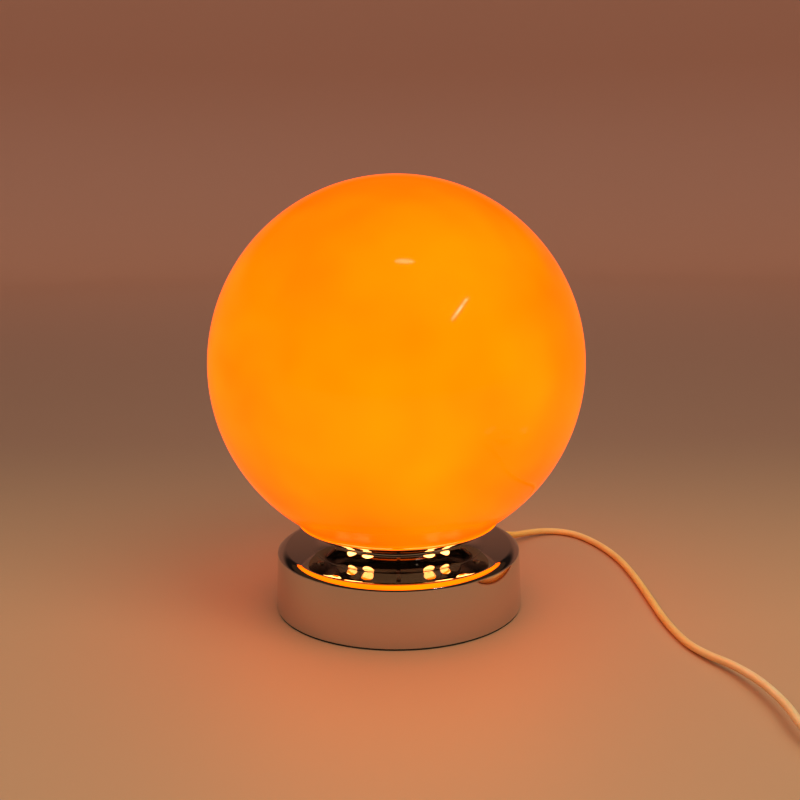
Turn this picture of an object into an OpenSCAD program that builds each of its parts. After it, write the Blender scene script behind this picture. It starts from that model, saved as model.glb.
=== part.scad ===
// Glass ball table lamp: an opal glass globe on a chrome gallery, neck and drum, with its bulb,
// lampholder, ballast and a mains lead with an inline switch, a tied coil and a plug.
// Millimetres, +Z up. The origin is the centre of the foot on the table.

/* [Globe] */
// Outer diameter of the glass globe
globe_d = 250; // [230:1:300]
// Thickness of the glass
glass_t = 3; // [2:0.1:4]
// Outer diameter of the lip round the globe's mouth
mouth_d = 136; // [126:1:150]
// Height of the straight lip round the mouth
lip_h = 1.7; // [1:0.1:4]

/* [Drum] */
// Diameter of the drum at its foot
foot_d = 170; // [164:1:200]
// Diameter of the drum just under its top corner
drum_top_d = 166.4; // [160:0.2:200]
// Height of the drum's flat top above the table
drum_h = 41.9; // [40:0.1:60]
// Radius of the shoulder between the drum's flat top and its corner
drum_shoulder_r = 8.3; // [6:0.1:12]
// Radius of the corner between the shoulder and the wall
drum_edge_r = 1.6; // [1.5:0.1:3]
// Thickness of the spun chrome sheet
sheet_t = 1.2; // [0.8:0.1:1.4]
// Height of the rubber ring under the drum
foot_ring_h = 1.3; // [1:0.1:3]
// Width of the rubber ring
foot_ring_w = 9; // [6:0.5:12]
// Thickness of the steel bottom plate
bottom_t = 1.5; // [1:0.1:2]
// Diameter of the felt disc under the bottom plate
felt_d = 116; // [80:1:120]
// Diameter of the iron ballast
ballast_d = 116; // [90:1:120]
// Thickness of the iron ballast
ballast_t = 8; // [4:0.5:8]
// Number of screws that hold the bottom plate
bottom_screw_count = 3; // [3:1:4]

/* [Neck and gallery] */
// Diameter of the neck's upright part
neck_d = 88; // [78:1:92]
// Diameter of the neck's flared foot
neck_foot_d = 118; // [108:1:124]
// Height of the neck's flare
neck_flare_h = 7; // [5:0.5:10]
// Height of the gallery's underside above the drum's top
neck_h = 14.6; // [14:0.1:30]
// Depth from the top of the gallery's ledge to the underside of its dish
dish_depth = 4.4; // [4:0.1:8]
// Width of the gallery's ledge, from the outside of the globe's lip inwards to the dish
ledge_w = 6.7; // [6:0.1:8]
// How far the gallery's rim stands out past the globe's lip
rim_lap = 0.6; // [0.4:0.1:4]
// Height of the rim's upright face, above the slope that runs down to the dish
rim_h = 0.7; // [0.6:0.1:3]
// Diameter of each vent hole in the gallery
vent_d = 13; // [6:0.5:14]
// Width of metal between a vent hole and the outside of the dish
vent_margin = 1.5; // [1.5:0.1:5]
// Angle between a leaf spring and the vent hole next to it
vent_angle = 34; // [24:1:36]
// Number of leaf springs that grip the globe
spring_count = 4; // [3:1:4]
// Width of each leaf spring
spring_w = 8; // [6:0.5:10]
// Thickness of each leaf spring
spring_t = 0.6; // [0.4:0.1:1]
// Height of each leaf spring above the gallery's dish
spring_h = 17; // [14:0.5:20]

/* [Lampholder] */
// Outer diameter of the tube that clamps the lamp together
tube_d = 10; // [10:0.5:12]
// Bore of that tube
tube_bore_d = 8; // [7:0.1:8]
// Width of the tube's nuts across their flats
nut_w = 14; // [14:0.5:18]
// Height of the tube's nuts
nut_h = 4; // [3:0.5:4]
// Diameter of the tube's washers
washer_d = 24; // [20:0.5:30]
// Outer diameter of the lampholder
holder_d = 40; // [38:0.5:44]
// Height of the lampholder's domed cap
holder_cap_h = 14; // [12:0.5:18]
// Height of the lampholder's sleeve
holder_body_h = 36; // [34:0.5:40]
// Wall of the lampholder
holder_wall = 2; // [1.5:0.1:2.5]
// Inner diameter of the lampholder's threaded shell
socket_d = 26.9; // [26.7:0.1:27.2]

/* [Bulb] */
// Diameter of the bulb's screw cap
bulb_cap_d = 26.3; // [26:0.1:26.4]
// Largest diameter of the bulb
bulb_d = 60; // [50:1:66]
// Length of the bulb's plain collar above the cap
bulb_collar_h = 36; // [30:1:40]
// Travel of one turn of the bulb's thread
bulb_pitch = 3.63; // [3.63:0.01:3.63]

/* [Lead] */
// Diameter of the lead
cord_d = 5; // [4:0.1:5]
// Height of the lead's outlet above the table
outlet_z = 14; // [14:0.5:20]
// Length of the strain relief outside the drum's wall
relief_l = 30.6; // [26:0.2:34]
// Diameter of the hole in the drum's wall
outlet_hole_d = 10; // [9:0.1:11]
// Length of the inline switch without its collars
switch_l = 56; // [52:1:60]
// Width of the inline switch
switch_w = 24; // [22:0.5:26]
// Height of the inline switch
switch_h = 15.5; // [15:0.5:18]
// Length of the rocker
rocker_l = 19; // [17:0.5:20]
// Width of the rocker
rocker_w = 9.4; // [8:0.1:10]
// Angle between the rocker's two positions
rocker_throw = 20; // [14:1:22]
// Width of the plug
plug_w = 35.3; // [34:0.1:36]
// Thickness of the plug
plug_t = 13.7; // [13:0.1:16]
// Length of the plug without its pins
plug_l = 36; // [32:1:40]
// Diameter of the plug's pins
pin_d = 4; // [4:0.1:4.8]
// Length of the plug's pins
pin_l = 19; // [18:0.5:19]
// Distance between the plug's pins
pin_gap = 18.6; // [17.5:0.1:19]
// Outer radius of the coil at the middle of its outermost turn
coil_r = 37.4; // [37:0.1:40]
// Turns in each of the coil's two layers
coil_turns = 3; // [2:1:3]
// Step from one turn of the coil to the next
coil_step = 5.6; // [5.5:0.1:5.7]

/* [Hidden] */

$fn = 96;

// Clearances: a fixed fit, a running fit, and the gap round what lifts off or turns
fit = 0.05;
running = 0.06;
clear = 0.3;
seat = 0.2;
// Reach of a cutting tool past the face that it cuts
past = 1;

// Heights of the stack on the lamp's axis
bottom_z = foot_ring_h;
ballast_z = bottom_z + bottom_t;
ballast_top = ballast_z + ballast_t;
dish_z = drum_h + neck_h;
dish_top = dish_z + sheet_t;
ledge_z = dish_z + dish_depth;
lip_z = ledge_z + seat;
globe_r = globe_d / 2;
mouth_r = mouth_d / 2;
globe_z = lip_z + lip_h + sqrt(globe_r * globe_r - mouth_r * mouth_r);
washer_t = 1.2;
tube_r = tube_d / 2;
tube_bottom = drum_h - sheet_t - washer_t - nut_h - 1.5;
holder_z = dish_top + washer_t + nut_h;
tube_top = holder_z + 6;
body_z = holder_z + holder_cap_h;
holder_r = holder_d / 2;
insert_t = 8;
insert_z = body_z + 1.6;
insert_top = insert_z + insert_t;
shell_t = 0.6;
socket_h = 24;
contact_h = 1.7;
bulb_z = insert_top + contact_h + clear;
cap_r = bulb_cap_d / 2;
cap_z = bulb_z + 4;
cap_h = 20;
collar_z = cap_z + cap_h;
collar_t = 1.6;
collar_top = collar_z + bulb_collar_h;
bulb_r = bulb_d / 2;
dome_drop = 13;
dome_z = collar_top + dome_drop;
dome_foot_r = sqrt(bulb_r * bulb_r - dome_drop * dome_drop);
dome_t = 1.2;

// The drum's shoulder slopes down to its corner, and its wall leans in from the foot to the corner
slope = 45;
edge_at = [
    drum_top_d / 2 - drum_edge_r,
    drum_h - drum_shoulder_r + (drum_shoulder_r - drum_edge_r) * cos(slope)
];
shoulder_at = [edge_at[0] - (drum_shoulder_r - drum_edge_r) * sin(slope), drum_h - drum_shoulder_r];
wall_top_z = edge_at[1];
function wall_r(z) =
    foot_d / 2 + (drum_top_d - foot_d) / 2 * (z - bottom_z) / (wall_top_z - bottom_z);
// Radius that is clear of the wall's inside from one height to another, and of its outside
function room_r(low, high) = min(wall_r(low), wall_r(high)) - sheet_t - clear;
function outside_r(low, high) = max(wall_r(low), wall_r(high)) + clear;

// The lead leaves the drum along this direction, which has sides of 3, 4 and 5
outlet_dir = [0.6, 0.8, 0];
outlet_side = [-0.8, 0.6, 0];
outlet_angle = atan2(outlet_dir[1], outlet_dir[0]);
outlet_reach = wall_r(outlet_z) + relief_l;
cord_r = cord_d / 2;
core_d = 2;
clamp_r = 42;
clamp_l = 8;
clamp_w = 20;
clamp_wall = 2.5;
clamp_screw_off = 7;
jacket_end = 34;

// Places of the pieces on the lead
switch_at = [266, -230, 0];
switch_floor = 0.2;
split_z = 8;
collar_l = 2;
switch_reach = switch_l / 2 + collar_l;
coil_at = [323 - coil_r, -172, 0];
coil_z = 3.7;
plug_at = [323, -130, 0];
table_gap = 0.1;
plug_mid = plug_t / 2 + table_gap;

// Route of the lead from the strain relief, behind and round the lamp, to the switch
run_points = [
    [83, 111, 10.5], [93, 121, 6.5], [105, 131.5, 4.6],
    [118, 138.5, 3.4], [131, 139.5, 2.7], [144, 131, 2.6], [155, 113, 2.6], [163, 91, 2.6],
    [168.5, 66, 2.6], [171.5, 38, 2.6], [173, 10, 2.6], [174, -18, 2.6], [175, -43, 2.6],
    [177.5, -66, 2.6], [181.5, -86, 2.8], [188.5, -103.5, 3.8], [197, -119.5, 5.2],
    [203.5, -137.5, 6.6], [208, -157, 7.5], [210.5, -179, 8], [211, -201, 8], [215, -216, 8],
    [223.5, -226.5, 8]
];
// Route from the switch to the coil, and from the coil to the plug
link_points = [
    [301, -230, 8], [309, -227.5, 6.8], [316.5, -221.5, 5.4], [321, -213, 4.4],
    [323, -203, 3.8], [323, -192, 3.7]
];
tail_points = [[323, -159, 8.9], [323, -150, 8.2], [323, -141, 7.3]];

function unit(v) = v / norm(v);
// Point at t between points i and i + 1 of a smooth curve through p
function before(p, i) = i > 0 ? p[i - 1] : 2 * p[0] - p[1];
function after(p, i) = i < len(p) - 1 ? p[i + 1] : 2 * p[i] - p[i - 1];
function between(p, i, t) =
    let (a = before(p, i), b = p[i], c = p[i + 1], d = after(p, i + 1))
    0.5 * (2 * b + (c - a) * t + (2 * a - 5 * b + 4 * c - d) * t * t
        + (3 * b - a - 3 * c + d) * t * t * t);
function smooth(p, n) = concat(
    [for (i = [0:len(p) - 2], k = [0:n - 1]) between(p, i, k / n)], [p[len(p) - 1]]);
function heading(p, i) = unit(after(p, i) - before(p, i));

// Points of an arc, and of a quarter ellipse that starts flat and ends upright
function arc(c, r, from, to, n) =
    [for (i = [0:n]) let (a = from + (to - from) * i / n) c + r * [cos(a), sin(a)]];
function flare(foot, top, n) =
    [for (i = [0:n]) let (a = 90 * i / n)
        [foot[0] + (top[0] - foot[0]) * sin(a), foot[1] + (top[1] - foot[1]) * (1 - cos(a))]];

// A tube of flat sides along a path. ref is a direction that the path never follows.
module tube(path, r, sides, ref = [0, 0, 1]) {
    n = len(path);
    rings = [for (i = [0:n - 1])
        let (t = heading(path, i), u = unit(cross(ref, t)), v = cross(t, u))
        for (k = [0:sides - 1]) let (a = 360 * (k + 0.5) / sides)
            path[i] + r * (cos(a) * u + sin(a) * v)];
    walls = [for (i = [0:n - 2], k = [0:sides - 1])
        let (a = i * sides + k, b = i * sides + (k + 1) % sides)
        for (f = [[a, a + sides, b], [b, a + sides, b + sides]]) f];
    start = [for (k = [1:sides - 2]) [0, k, k + 1]];
    end = [for (k = [1:sides - 2]) [(n - 1) * sides, (n - 1) * sides + k + 1, (n - 1) * sides + k]];
    polyhedron(points = rings, faces = concat(walls, start, end));
}

module around(count, first = 0) {
    for (i = [0:count - 1]) rotate([0, 0, first + 360 * i / count]) children();
}

// Local axes of the lead's outlet: +X runs outwards from the lamp's axis, at the outlet's height
module at_outlet() {
    translate([0, 0, outlet_z]) rotate([0, 0, outlet_angle]) children();
}
module lathe_x(x) {
    translate([x, 0, 0]) rotate([0, 90, 0]) rotate_extrude() children();
}

// Glass and gallery

module glass_globe() {
    inner_r = globe_r - glass_t;
    cut_z = lip_z + lip_h;
    color("orange") difference() {
        union() {
            difference() {
                translate([0, 0, globe_z]) sphere(r = globe_r);
                translate([0, 0, cut_z - globe_r]) cylinder(r = globe_r, h = globe_r);
            }
            translate([0, 0, lip_z]) cylinder(r = mouth_r, h = lip_h);
        }
        translate([0, 0, globe_z]) sphere(r = inner_r);
        translate([0, 0, lip_z - past]) cylinder(r = mouth_r - glass_t, h = globe_r / 2);
    }
}

rim_r = mouth_r + rim_lap;
dish_in_r = mouth_r - ledge_w;
dish_r = dish_in_r + sheet_t;
vent_at = dish_r - vent_margin - vent_d / 2;
soften = 0.3;

module gallery() {
    color("gainsboro") difference() {
        rotate_extrude() polygon([
            [tube_r + fit, dish_z], [dish_r, dish_z], [rim_r - soften, ledge_z - rim_h],
            [rim_r, ledge_z - rim_h + soften], [rim_r, ledge_z - soften], [rim_r - soften, ledge_z],
            [dish_in_r, ledge_z], [dish_in_r, dish_top], [tube_r + fit, dish_top]
        ]);
        for (a = [-vent_angle, vent_angle]) around(spring_count, a)
            translate([vent_at, 0, dish_z - past]) cylinder(d = vent_d, h = sheet_t + 2 * past);
        around(spring_count) translate([rivet_at, 0, dish_z - past])
            cylinder(r = rivet_r + fit, h = sheet_t + 2 * past);
    }
}

rivet_r = 1.2;
rivet_head_r = 2.2;
rivet_head_h = 0.8;
spring_foot = 9;
spring_back = dish_in_r - 1.5;
rivet_at = spring_back - 5.5;
grip_r = mouth_r - glass_t - clear;

module globe_springs() {
    foot_z = dish_top;
    grip_z = lip_z + 3;
    top_z = foot_z + spring_h;
    color("silver") around(spring_count) difference() {
        translate([0, spring_w / 2, 0]) rotate([90, 0, 0]) linear_extrude(height = spring_w) polygon([
            [spring_back - spring_foot, foot_z], [spring_back, foot_z], [spring_back, ledge_z],
            [grip_r, grip_z], [grip_r - 4, top_z], [grip_r - 4 - spring_t, top_z],
            [grip_r - spring_t * 1.4, grip_z], [spring_back - spring_t, ledge_z + spring_t],
            [spring_back - spring_t, foot_z + spring_t],
            [spring_back - spring_foot, foot_z + spring_t]
        ]);
        translate([rivet_at, 0, foot_z - past]) cylinder(r = rivet_r + fit, h = spring_t + 2 * past);
    }
}

module spring_rivets() {
    color("silver") around(spring_count) translate([rivet_at, 0, 0]) {
        translate([0, 0, dish_z - rivet_head_h]) cylinder(r = rivet_head_r, h = rivet_head_h);
        translate([0, 0, dish_z]) cylinder(r = rivet_r, h = sheet_t + spring_t);
        translate([0, 0, dish_top + spring_t]) cylinder(r = rivet_head_r, h = rivet_head_h);
    }
}

// Neck and drum

module neck() {
    r = neck_d / 2;
    foot_r = neck_foot_d / 2;
    steps = 16;
    outer = flare([foot_r, drum_h + 0.3], [r, drum_h + neck_flare_h], steps);
    inner = flare([foot_r - 2, drum_h], [r - sheet_t, drum_h + neck_flare_h], steps);
    color("gainsboro") rotate_extrude() polygon(concat(
        [[foot_r, drum_h]], outer,
        [[r, dish_z], [tube_r + fit, dish_z], [tube_r + fit, dish_z - sheet_t],
            [r - sheet_t, dish_z - sheet_t]],
        [for (i = [steps:-1:0]) inner[i]]
    ));
}

module base_shell() {
    in = sheet_t;
    steps = 8;
    edge = arc(edge_at, drum_edge_r, 0, 90 - slope, steps);
    shoulder = arc(shoulder_at, drum_shoulder_r, 90 - slope, 90, steps);
    inner_shoulder = arc(shoulder_at, drum_shoulder_r - in, 90, 90 - slope, steps);
    inner_edge = arc(edge_at, drum_edge_r - in, 90 - slope, 0, steps);
    color("gainsboro") difference() {
        rotate_extrude() polygon(concat(
            [[foot_d / 2, bottom_z]], edge, [for (i = [1:steps]) shoulder[i]],
            [[tube_r + fit, drum_h], [tube_r + fit, drum_h - in]],
            inner_shoulder, [for (i = [1:steps]) inner_edge[i]], [[foot_d / 2 - in, bottom_z]]
        ));
        at_outlet() translate([foot_d / 4, 0, 0]) rotate([0, 90, 0])
            cylinder(d = outlet_hole_d, h = foot_d / 2);
    }
}

ring_out_r = foot_d / 2 - 0.6;
ring_in_r = ring_out_r - foot_ring_w;

module foot_ring() {
    color("dimgray") rotate_extrude() polygon([
        [ring_in_r, 0], [ring_out_r - 0.4, 0], [ring_out_r, 0.4], [ring_out_r, foot_ring_h],
        [ring_in_r, foot_ring_h]
    ]);
}

// The brackets and their screws stand midway between the ballast and the rubber ring
bracket_from = ballast_d / 2 + 1;
bracket_at = (ballast_d / 2 + ring_in_r) / 2;
plate_screw_r = 1.5;
plate_screw_head_r = 3;
plate_screw_head_h = 0.9;

module bottom_plate() {
    color("darkgray") difference() {
        translate([0, 0, bottom_z]) cylinder(r = room_r(bottom_z, ballast_z), h = bottom_t);
        around(bottom_screw_count, 90) translate([bracket_at, 0, bottom_z - past])
            cylinder(r = plate_screw_r + fit, h = bottom_t + 2 * past);
    }
}

module bottom_screws() {
    color("silver") around(bottom_screw_count, 90) translate([bracket_at, 0, 0]) {
        difference() {
            translate([0, 0, bottom_z - plate_screw_head_h])
                cylinder(r = plate_screw_head_r, h = plate_screw_head_h);
            for (a = [0, 90]) translate([0, 0, bottom_z - plate_screw_head_h]) rotate([0, 0, a])
                cube([3.6, 0.7, 0.8], center = true);
        }
        translate([0, 0, bottom_z]) cylinder(r = plate_screw_r, h = bottom_t + 4);
    }
}

module plate_brackets() {
    t = 1.5;
    w = 14;
    h = 14;
    out_r = room_r(ballast_z, ballast_z + h);
    color("darkgray") around(bottom_screw_count, 90) difference() {
        intersection() {
            translate([0, 0, ballast_z]) difference() {
                cylinder(r = out_r, h = h);
                translate([0, 0, t]) cylinder(r = out_r - t, h = h);
            }
            translate([bracket_from, -w / 2, ballast_z]) cube([foot_d, w, h]);
        }
        translate([bracket_at, 0, ballast_z - past]) cylinder(r = plate_screw_r + fit, h = t + 2 * past);
    }
}

module felt_pad() {
    color("dimgray") translate([0, 0, seat]) cylinder(d = felt_d, h = bottom_z - seat);
}

module ballast() {
    color("gray") difference() {
        translate([0, 0, ballast_z]) cylinder(d = ballast_d, h = ballast_t);
        at_outlet() for (s = [-1, 1]) translate([clamp_r, s * clamp_screw_off, -outlet_z + ballast_top - 5])
            cylinder(r = clamp_screw_r + fit, h = 5 + past);
    }
}

// Tube, nuts and lampholder

module threaded_tube() {
    color("goldenrod") difference() {
        translate([0, 0, tube_bottom]) cylinder(r = tube_r, h = tube_top - tube_bottom);
        translate([0, 0, tube_bottom - past])
            cylinder(d = tube_bore_d, h = tube_top - tube_bottom + 2 * past);
    }
}

module tube_nuts() {
    color("silver") for (z = [drum_h - sheet_t - washer_t - nut_h, dish_top + washer_t])
        translate([0, 0, z]) difference() {
            cylinder(d = nut_w / cos(30), h = nut_h, $fn = 6);
            translate([0, 0, -past]) cylinder(r = tube_r + fit, h = nut_h + 2 * past);
        }
}

module tube_washers() {
    color("silver") for (z = [drum_h - sheet_t - washer_t, dish_top]) translate([0, 0, z]) difference() {
        cylinder(d = washer_d, h = washer_t);
        translate([0, 0, -past]) cylinder(r = tube_r + fit, h = washer_t + 2 * past);
    }
}

module holder_cap() {
    dome_r = 8;
    outer = arc([holder_r - dome_r, holder_z + dome_r], dome_r, -90, 0, 12);
    inner = arc([holder_r - dome_r, holder_z + dome_r], dome_r - holder_wall, 0, -90, 12);
    boss_r = tube_r + 3;
    color("whitesmoke") rotate_extrude() polygon(concat(
        [[tube_r + fit, holder_z]], outer, [[holder_r, body_z], [holder_r - holder_wall, body_z]],
        inner, [[boss_r, holder_z + holder_wall], [boss_r, tube_top], [tube_r + fit, tube_top]]
    ));
}

module holder_body() {
    in = holder_r - holder_wall;
    color("whitesmoke") difference() {
        translate([0, 0, body_z]) cylinder(r = holder_r, h = holder_body_h);
        translate([0, 0, body_z - past]) cylinder(r = in, h = holder_body_h + 2 * past);
    }
}

terminal_at = 9;
terminal_w = 5;

module holder_insert() {
    r = holder_r - holder_wall - fit;
    color("white") difference() {
        union() {
            translate([0, 0, insert_z]) cylinder(r = r, h = insert_t);
            translate([0, 0, insert_top]) difference() {
                cylinder(r = r, h = socket_h - 4);
                translate([0, 0, -past]) cylinder(r = socket_d / 2 + shell_t + fit, h = socket_h + past);
            }
        }
        rotate([0, 0, outlet_angle]) for (s = [-1, 1])
            translate([-terminal_w / 2 - fit, s * terminal_at - terminal_w / 2 - fit, insert_z - past])
                cube([terminal_w + 2 * fit, terminal_w + 2 * fit, past + 3]);
    }
}

module holder_shell() {
    r = socket_d / 2;
    color("goldenrod") translate([0, 0, insert_top]) difference() {
        cylinder(r = r + shell_t, h = socket_h - 1);
        translate([0, 0, shell_t]) cylinder(r = r, h = socket_h);
        translate([0, 0, -past]) cylinder(r = 9.5, h = 3);
    }
}

module holder_contact() {
    color("goldenrod") translate([0, 0, insert_top]) {
        cylinder(r = 4, h = contact_h);
        rotate([0, 0, outlet_angle]) translate([-8, -2, 0]) cube([16, 4, 0.6]);
    }
}

terminal_z = insert_z - 4;

module holder_terminals() {
    color("goldenrod") rotate([0, 0, outlet_angle]) for (s = [-1, 1])
        translate([0, s * terminal_at, terminal_z]) {
            translate([-terminal_w / 2, -terminal_w / 2, 0])
                cube([terminal_w, terminal_w, insert_z + 3 - terminal_z]);
            translate([-terminal_w / 2, 0, 2]) rotate([0, -90, 0]) cylinder(r = 1.6, h = 1.4);
        }
}

// Lead inside the drum, its clamp and its strain relief

module lead_inside() {
    color("white") at_outlet() translate([jacket_end, 0, 0]) rotate([0, 90, 0])
        cylinder(r = cord_r, h = outlet_reach - jacket_end);
}

// One core runs in from the jacket, bends up through the tube and ends under its terminal
module core(side) {
    bend_r = tube_bottom - outlet_z;
    off = core_d / 2 + 0.15;
    across = side * outlet_side;
    path = concat(
        [jacket_end * outlet_dir + [0, 0, outlet_z] + off * across],
        [for (a = [0:15:90]) (bend_r - bend_r * sin(a)) * outlet_dir
            + [0, 0, outlet_z + bend_r - bend_r * cos(a)] + off * across],
        [for (z = [0.35, 0.7, 1]) [0, 0, tube_bottom + (tube_top - tube_bottom) * z] + off * across],
        [[0, 0, tube_top + 1.6] + 2.4 * across, [0, 0, tube_top + 2.8] + 5.2 * across,
            [0, 0, terminal_z - 1.6] + terminal_at * across,
            [0, 0, terminal_z] + terminal_at * across]
    );
    tube(path, core_d / 2, 8, outlet_dir + across);
}

module core_brown() {
    color("saddlebrown") core(-1);
}

module core_blue() {
    color("steelblue") core(1);
}

clamp_screw_r = 1.4;

module cord_clamp() {
    h = cord_r + clamp_wall;
    low = ballast_top - outlet_z;
    color("whitesmoke") at_outlet() difference() {
        translate([clamp_r - clamp_l / 2, -clamp_w / 2, low]) cube([clamp_l, clamp_w, h - low]);
        translate([clamp_r - clamp_l, 0, 0]) rotate([0, 90, 0])
            cylinder(r = cord_r + fit, h = 2 * clamp_l);
        for (s = [-1, 1]) translate([clamp_r, s * clamp_screw_off, low - past])
            cylinder(r = clamp_screw_r + fit, h = h - low + 2 * past);
    }
}

module clamp_screws() {
    h = cord_r + clamp_wall;
    low = ballast_top - outlet_z;
    color("silver") at_outlet() for (s = [-1, 1]) translate([clamp_r, s * clamp_screw_off, 0]) {
        difference() {
            translate([0, 0, h]) cylinder(r = 2.6, h = 1.6);
            translate([-3, -0.35, h + 0.9]) cube([6, 0.7, 1]);
        }
        translate([0, 0, low - 4.5]) cylinder(r = clamp_screw_r, h = h - low + 4.5);
    }
}

module strain_relief() {
    hole_r = outlet_hole_d / 2;
    flange_r = hole_r + 1.5;
    out_x = outside_r(outlet_z - flange_r, outlet_z + flange_r);
    in_x = room_r(outlet_z - flange_r, outlet_z + flange_r) - 0.7;
    color("white") at_outlet() lathe_x(0) polygon([
        [cord_r + fit, in_x - 3], [flange_r - 1, in_x - 3], [flange_r - 0.5, in_x],
        [hole_r - clear, in_x], [hole_r - clear, out_x], [flange_r, out_x], [flange_r, out_x + 2.5],
        [hole_r, out_x + 3.5], [cord_r + 1, outlet_reach - 1], [cord_r + 0.6, outlet_reach],
        [cord_r + fit, outlet_reach]
    ]);
}

// Bulb

module bulb_contact() {
    color("silver") translate([0, 0, bulb_z]) {
        translate([0, 0, 0.6]) cylinder(r = 4.8, h = 0.8);
        cylinder(r1 = 3.6, r2 = 4.8, h = 0.6);
    }
}

module bulb_insulator() {
    low = bulb_z + 1.4;
    color("black") translate([0, 0, low]) cylinder(r1 = 5.4, r2 = 9.4, h = cap_z - seat - low);
}

module bulb_cap() {
    t = 0.5;
    color("silver") rotate_extrude() polygon([
        [0, cap_z], [9.8, cap_z], [cap_r, cap_z + 2.4], [cap_r, collar_z], [cap_r - t, collar_z],
        [cap_r - t, cap_z + 2.6], [9.6, cap_z + t], [0, cap_z + t]
    ]);
}

module bulb_collar() {
    top_r = dome_foot_r;
    color("white") rotate_extrude() polygon([
        [0, collar_z], [cap_r + 0.5, collar_z], [cap_r + 2.2, collar_z + 2],
        [cap_r + 3.4, collar_z + 10], [top_r - 1.6, collar_top - 8], [top_r, collar_top - 3],
        [top_r, collar_top], [top_r - collar_t, collar_top], [top_r - collar_t, collar_top - 3],
        [cap_r + 1.8, collar_z + 10], [cap_r + 0.4, collar_z + collar_t], [0, collar_z + collar_t]
    ]);
}

module led_plate() {
    r = dome_foot_r - collar_t - fit;
    color("lightyellow") {
        translate([0, 0, collar_top - 2.5]) cylinder(r = r, h = 1.6);
        around(10) translate([r - 6, -1.5, collar_top - 0.9]) cube([3, 3, 0.8]);
    }
}

module bulb_dome() {
    color("lightyellow") difference() {
        translate([0, 0, dome_z]) sphere(r = bulb_r);
        translate([0, 0, dome_z]) sphere(r = bulb_r - dome_t);
        translate([0, 0, collar_top - bulb_r]) cylinder(r = bulb_r + past, h = bulb_r);
    }
}

// Lead on the table, switch, coil and plug

run_path = smooth(concat(
    [for (d = [0, 5, 12]) (outlet_reach + d) * outlet_dir + [0, 0, outlet_z - d * d / 200]], run_points,
    [switch_at + [-switch_reach - 5, 0, split_z], switch_at + [-switch_reach, 0, split_z]]), 2);
link_path = smooth(concat([switch_at + [switch_reach, 0, split_z]], link_points,
    [coil_at + [coil_r, -cord_d, coil_z]]), 2);

module cord_run() {
    color("white") tube(run_path, cord_r, 8);
}

module cord_link() {
    color("white") tube(link_path, cord_r, 8);
}

coil_top_z = coil_z + coil_step;
function coil_layer(t) = let (u = max(0, min(1, (t - coil_turns + 0.25) * 2))) u * u * (3 - 2 * u);
function coil_point(t) =
    let (r = coil_r - coil_step * min(t, 2 * coil_turns - t),
        z = coil_z + coil_step * coil_layer(t))
    coil_at + [r * cos(360 * t), r * sin(360 * t), z];
loop_steps = 24;
coil_path = concat(
    [coil_at + [coil_r, -cord_d, coil_z]],
    [for (i = [0:2 * coil_turns * loop_steps]) coil_point(i / loop_steps)],
    [coil_at + [coil_r, cord_d, coil_top_z]]
);
// Least distance between two stretches of the coil that are half a turn or more apart
coil_self_gap = min([for (i = [0:len(coil_path) - 1], j = [i + loop_steps / 2:len(coil_path) - 1])
    norm(coil_path[i] - coil_path[j])]) - cord_d;

tail_path = smooth(concat([coil_at + [coil_r, cord_d, coil_top_z]], tail_points,
    [plug_at + [0, -5, plug_mid], plug_at + [0, 0, plug_mid]]), 2);

function total(v) = len(v) == 0 ? 0 : v * [for (i = v) 1];
function path_length(p) = total([for (i = [1:len(p) - 1]) norm(p[i] - p[i - 1])]);
lead_length = outlet_reach - jacket_end + path_length(run_path) + 2 * switch_reach
    + path_length(link_path) + path_length(coil_path) + path_length(tail_path);

module cord_coil() {
    echo(str("Least gap between the coil's turns: ", coil_self_gap, " mm"));
    echo(str("Length of the lead, from its clamp to its plug: ", lead_length, " mm"));
    color("white") tube(coil_path, cord_r, 6);
}

module cord_tail() {
    color("white") tube(tail_path, cord_r, 8);
}

module coil_tie() {
    w = 8;
    t = 0.8;
    low = coil_z - cord_r - clear;
    high = coil_top_z + cord_r + clear;
    in_r = coil_r - coil_turns * coil_step - cord_r - clear;
    out_r = coil_r + cord_r + clear;
    color("dimgray") translate(coil_at) rotate([0, 0, 150]) difference() {
        translate([in_r - t, -w / 2, low - t]) cube([out_r - in_r + 2 * t, w, high - low + 2 * t]);
        translate([in_r, -w / 2 - past, low]) cube([out_r - in_r, w + 2 * past, high - low]);
    }
}

// Outline of the switch, drawn in by d all round
module stadium(d, h) {
    r = switch_w / 2 - d;
    x = switch_l / 2 - switch_w / 2;
    for (s = [-1, 1]) translate([s * x, 0, 0]) cylinder(r = r, h = h);
    translate([-x, -r, 0]) cube([2 * x, 2 * r, h]);
}

switch_wall = 1.8;
switch_boss_at = 19;
switch_screw_r = 1.2;
pivot_z = switch_h - 3.5;
pin_r = 1;
rocker_gap = 0.3;
lug_t = 2;

module collars(low, high) {
    r = cord_r + 2;
    for (s = [-1, 1]) translate([s * (switch_reach - 5), 0, split_z]) intersection() {
        rotate([0, 90, 0]) translate([0, 0, -5]) cylinder(r = r, h = 10);
        translate([-5, -r, low - split_z]) cube([10, 2 * r, high - low]);
    }
}

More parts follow.
